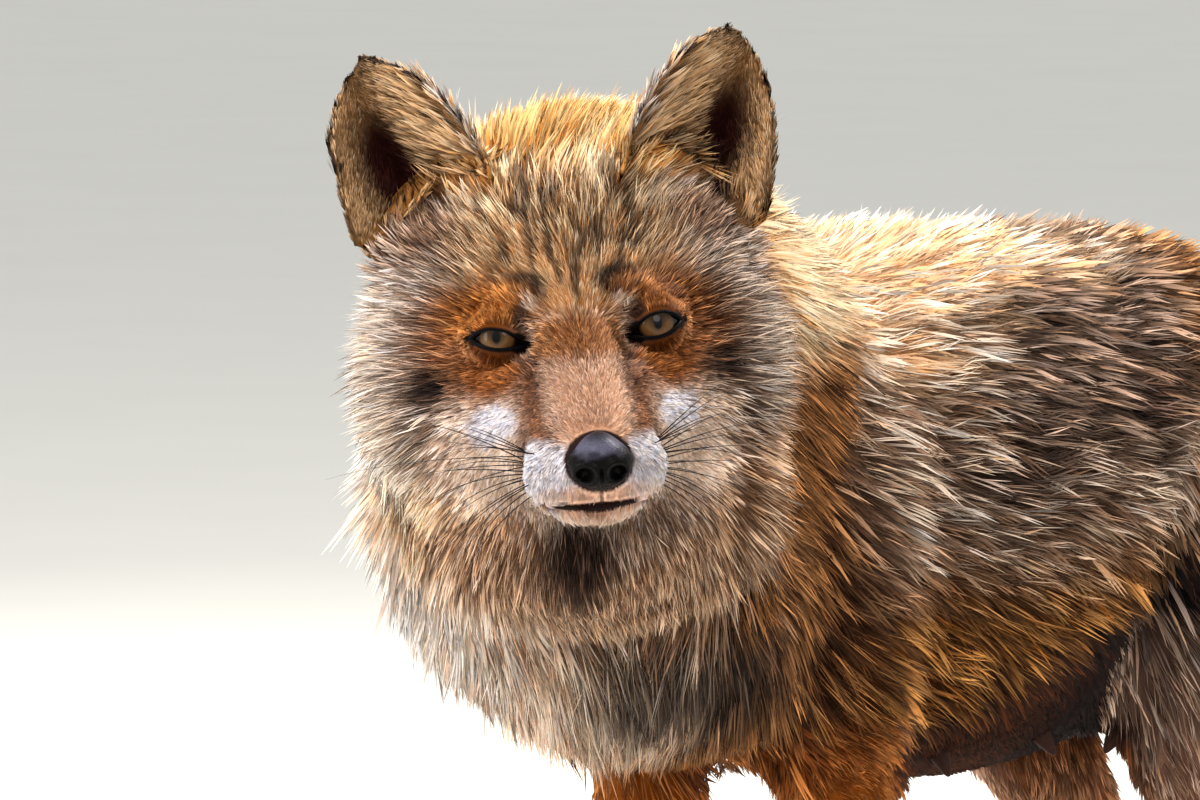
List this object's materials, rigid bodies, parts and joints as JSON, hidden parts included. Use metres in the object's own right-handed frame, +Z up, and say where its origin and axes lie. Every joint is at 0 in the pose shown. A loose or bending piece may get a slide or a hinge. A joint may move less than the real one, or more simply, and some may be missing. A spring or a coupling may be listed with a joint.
{
  "type": "red fox model",
  "caption": "Life-size still model of a standing red fox in full coat, its head turned to its left, ears pricked and brush hanging behind.",
  "frame": {"origin": "on the floor, under the middle of the fox's bounding box", "axes": "+Z up, the fox faces -Y, its left side is +X"},
  "size_m": [0.1854, 0.855, 0.476],
  "materials": {
    "coat": "long soft fur, russet to grey brown with cream tips",
    "stocking": "short dark fur on the paws",
    "tail_tip": "long soft cream fur",
    "ear": "short velvety fur, black behind and cream brown inside",
    "nose": "moist pebbled black leather",
    "eye": "clear wet gloss over an amber iris",
    "claw": "dark smooth horn",
    "whisker": "stiff black hair"
  },
  "bodies": {
    "root": {"head": "coat", "neck": "coat", "trunk": "coat", "thigh_left": "coat", "thigh_right": "coat", "foreleg_left": "coat", "foreleg_right": "coat", "hindleg_left": "coat", "hindleg_right": "coat", "tail_root": "coat", "tail_brush": "coat", "tail_tip": "tail_tip", "forepaw_left": "stocking", "forepaw_right": "stocking", "hindpaw_left": "stocking", "hindpaw_right": "stocking", "ear_left": "ear", "ear_right": "ear", "nose": "nose", "eye_left": "eye", "eye_right": "eye"}
  },
  "joints": []
}
